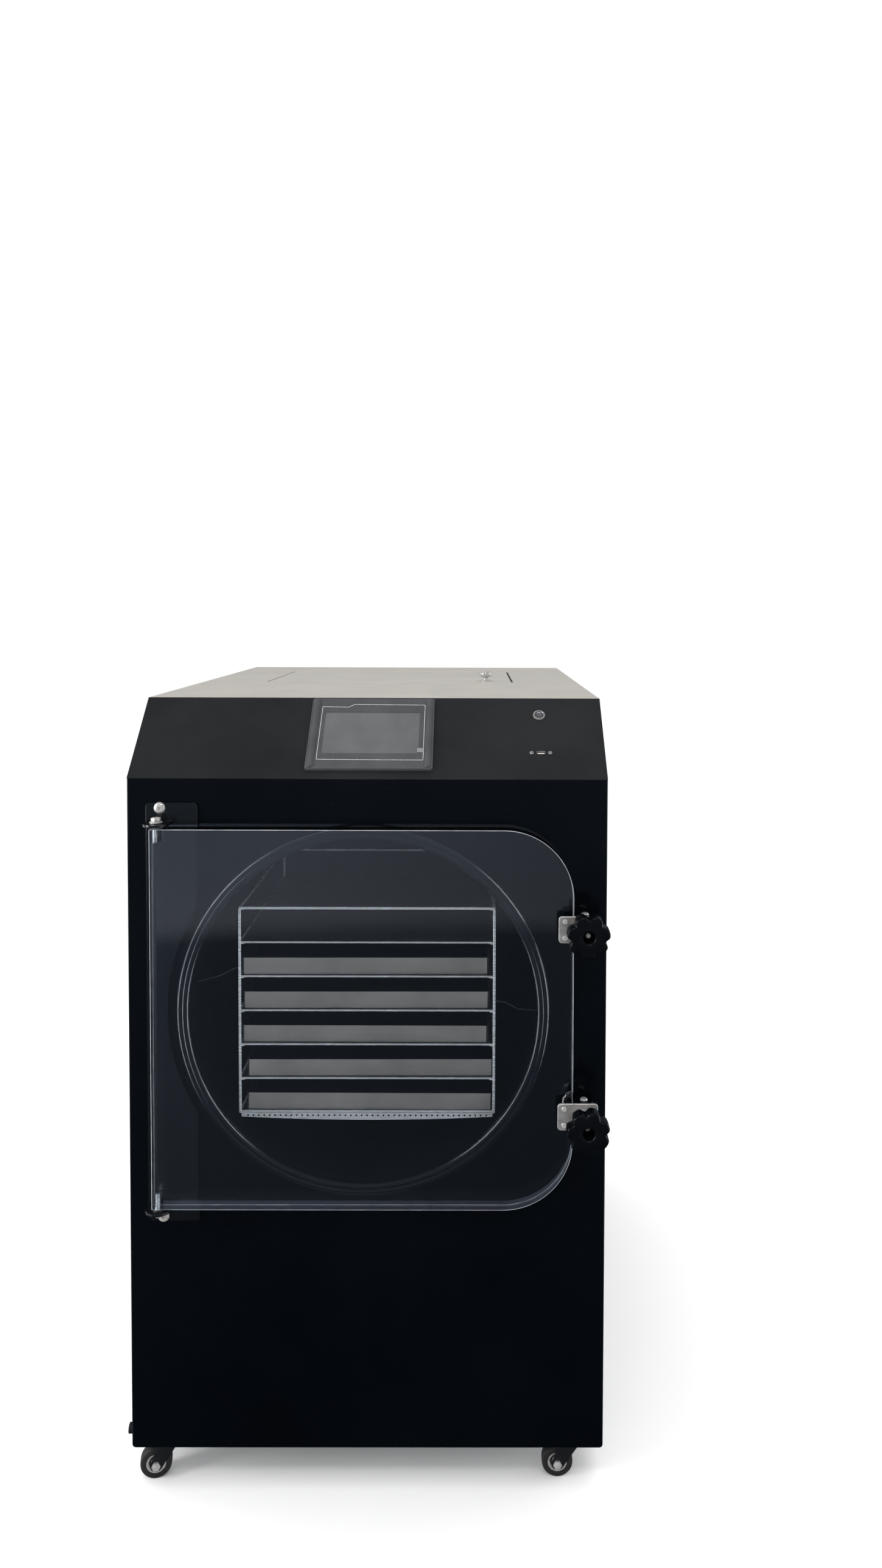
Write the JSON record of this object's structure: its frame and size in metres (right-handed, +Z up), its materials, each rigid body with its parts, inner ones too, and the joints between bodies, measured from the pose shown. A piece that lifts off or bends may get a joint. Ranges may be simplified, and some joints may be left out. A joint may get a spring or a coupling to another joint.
{
  "type": "freeze dryer",
  "caption": "Floor-standing laboratory freeze dryer: round vacuum chamber with tray rack, clear hinged door with star-knob clamps, sloped touch panel, casters.",
  "frame": {"origin": "centre of the bounding box's underside, on the floor", "axes": "+Z up, +X to the right of someone facing the door, -Y out of the door"},
  "size_m": [0.759, 1.1584, 1.277],
  "materials": {
    "black_paint": "gloss powder coat",
    "charcoal_paint": "satin powder coat",
    "grey_paint": "satin powder coat",
    "top_steel": "fine brushed",
    "stainless": "satin",
    "polished_steel": "polished",
    "zinc": "bright zinc",
    "copper": "bare copper",
    "aluminium": "bare",
    "rubber": "smooth",
    "tyre": "matt",
    "acrylic": "polished",
    "black_plastic": "fine grained",
    "gloss_black": "gloss",
    "bezel_plastic": "fine grained",
    "screen": "gloss, switched off",
    "foam": "closed-cell foam",
    "button_cap": "satin"
  },
  "bodies": {
    "cabinet": {"base_frame": "grey_paint", "button_body": "polished_steel", "caster_plates": "zinc", "chamber_ends": "stainless", "chamber_shell": "stainless", "clamp_brackets": "black_paint", "clamp_pivots": "polished_steel", "compressor": "grey_paint", "condenser": "aluminium", "control_box": "grey_paint", "control_panel": "charcoal_paint", "door_gasket": "rubber", "drain_pipe": "stainless", "fan_shroud": "black_plastic", "floor_pan": "grey_paint", "foam_jacket": "foam", "front_panel": "black_paint", "hatch_frame": "grey_paint", "hinge_fasteners": "polished_steel", "hinge_plate": "black_paint", "left_side_panel": "black_paint", "mains_inlet": "black_plastic", "perforated_strip": "stainless", "rear_panel": "black_paint", "refrigerant_circuit": "copper", "right_side_panel": "black_paint", "screen_bezel": "bezel_plastic", "screen_glass": "screen", "screen_housing": "black_plastic", "sensor_leads": "stainless", "shelf_rack": "stainless", "top_panel": "top_steel", "tray_1": "stainless", "tray_2": "stainless", "tray_3": "stainless", "tray_4": "stainless", "tray_5": "stainless", "usb_socket": "zinc", "vacuum_pipes": "stainless", "vacuum_pump": "grey_paint"},
    "door": {"door_panel": "acrylic", "clamp_plates": "polished_steel", "clamp_plate_fixings": "polished_steel"},
    "power_button": {"power_button": "button_cap"},
    "hatch": {"hatch_lid": "top_steel"},
    "fan": {"fan_blades": "black_plastic"},
    "clamp_washer_upper": {"clamp_washer_upper": "polished_steel"},
    "clamp_knob_upper": {"clamp_knob_upper": "gloss_black", "clamp_bolt_upper": "polished_steel"},
    "clamp_washer_lower": {"clamp_washer_lower": "polished_steel"},
    "clamp_knob_lower": {"clamp_knob_lower": "gloss_black", "clamp_bolt_lower": "polished_steel"},
    "caster_fork_front_left": {"caster_fork_front_left": "zinc"},
    "caster_wheel_front_left": {"caster_wheel_front_left": "tyre"},
    "caster_fork_front_right": {"caster_fork_front_right": "zinc"},
    "caster_wheel_front_right": {"caster_wheel_front_right": "tyre"},
    "caster_fork_rear_left": {"caster_fork_rear_left": "zinc"},
    "caster_wheel_rear_left": {"caster_wheel_rear_left": "tyre"},
    "caster_fork_rear_right": {"caster_fork_rear_right": "zinc"},
    "caster_wheel_rear_right": {"caster_wheel_rear_right": "tyre"}
  },
  "joints": [
    {"name": "door_hinge", "type": "hinge", "parent": "cabinet", "child": "door", "pos_m": [-0.321, -0.50565, 0.7735], "axis": [0, 0, -1], "range_deg": [0, 130]},
    {"name": "clamp_travel_upper", "type": "slide", "parent": "door", "child": "clamp_washer_upper", "axis": [0, -1, 0], "range_m": [0, 0.015]},
    {"name": "clamp_turn_upper", "type": "hinge", "parent": "clamp_washer_upper", "child": "clamp_knob_upper", "pos_m": [0.337, -0.53985, 0.917], "axis": [0, -1, 0], "range_deg": [0, 3600]},
    {"name": "clamp_travel_lower", "type": "slide", "parent": "door", "child": "clamp_washer_lower", "axis": [0, -1, 0], "range_m": [-0.015, 0]},
    {"name": "clamp_turn_lower", "type": "hinge", "parent": "clamp_washer_lower", "child": "clamp_knob_lower", "pos_m": [0.337, -0.53985, 0.627], "axis": [0, -1, 0], "range_deg": [-3600, 0]},
    {"name": "button_press", "type": "slide", "parent": "cabinet", "child": "power_button", "axis": [0, 0.6891, -0.7247], "range_m": [0, 0.0025], "stiffness_N_per_m": 400, "springref_m": -0.001},
    {"name": "hatch_hinge", "type": "hinge", "parent": "cabinet", "child": "hatch", "pos_m": [-0.0025, 0.38615, 1.2544], "axis": [-1, 0, 0], "range_deg": [0, 95]},
    {"name": "fan_spin", "type": "hinge", "parent": "cabinet", "child": "fan", "pos_m": [0, 0.42615, 0.276], "axis": [0, 1, 0], "continuous": true},
    {"name": "caster_swivel_front_left", "type": "hinge", "parent": "cabinet", "child": "caster_fork_front_left", "pos_m": [-0.325, -0.43785, 0.059], "axis": [0, 0, 1], "continuous": true},
    {"name": "caster_roll_front_left", "type": "hinge", "parent": "caster_fork_front_left", "child": "caster_wheel_front_left", "pos_m": [-0.34554, -0.44222, 0.025], "axis": [-0.2079, 0.9781, 0], "continuous": true},
    {"name": "caster_swivel_front_right", "type": "hinge", "parent": "cabinet", "child": "caster_fork_front_right", "pos_m": [0.325, -0.43785, 0.059], "axis": [0, 0, 1], "continuous": true},
    {"name": "caster_roll_front_right", "type": "hinge", "parent": "caster_fork_front_right", "child": "caster_wheel_front_right", "pos_m": [0.304, -0.43785, 0.025], "axis": [0, 1, 0], "continuous": true},
    {"name": "caster_swivel_rear_left", "type": "hinge", "parent": "cabinet", "child": "caster_fork_rear_left", "pos_m": [-0.325, 0.52315, 0.059], "axis": [0, 0, 1], "continuous": true},
    {"name": "caster_roll_rear_left", "type": "hinge", "parent": "caster_fork_rear_left", "child": "caster_wheel_rear_left", "pos_m": [-0.32865, 0.50247, 0.025], "axis": [-0.9848, 0.1736, 0], "continuous": true},
    {"name": "caster_swivel_rear_right", "type": "hinge", "parent": "cabinet", "child": "caster_fork_rear_right", "pos_m": [0.325, 0.52315, 0.059], "axis": [0, 0, 1], "continuous": true},
    {"name": "caster_roll_rear_right", "type": "hinge", "parent": "caster_fork_rear_right", "child": "caster_wheel_rear_right", "pos_m": [0.32865, 0.50247, 0.025], "axis": [-0.9848, -0.1736, 0], "continuous": true}
  ],
  "couplings": [
    {"joint": "clamp_travel_upper", "follows": "clamp_turn_upper", "m_per_rad": 0.00023873},
    {"joint": "clamp_travel_lower", "follows": "clamp_turn_lower", "m_per_rad": 0.00023873}
  ]
}
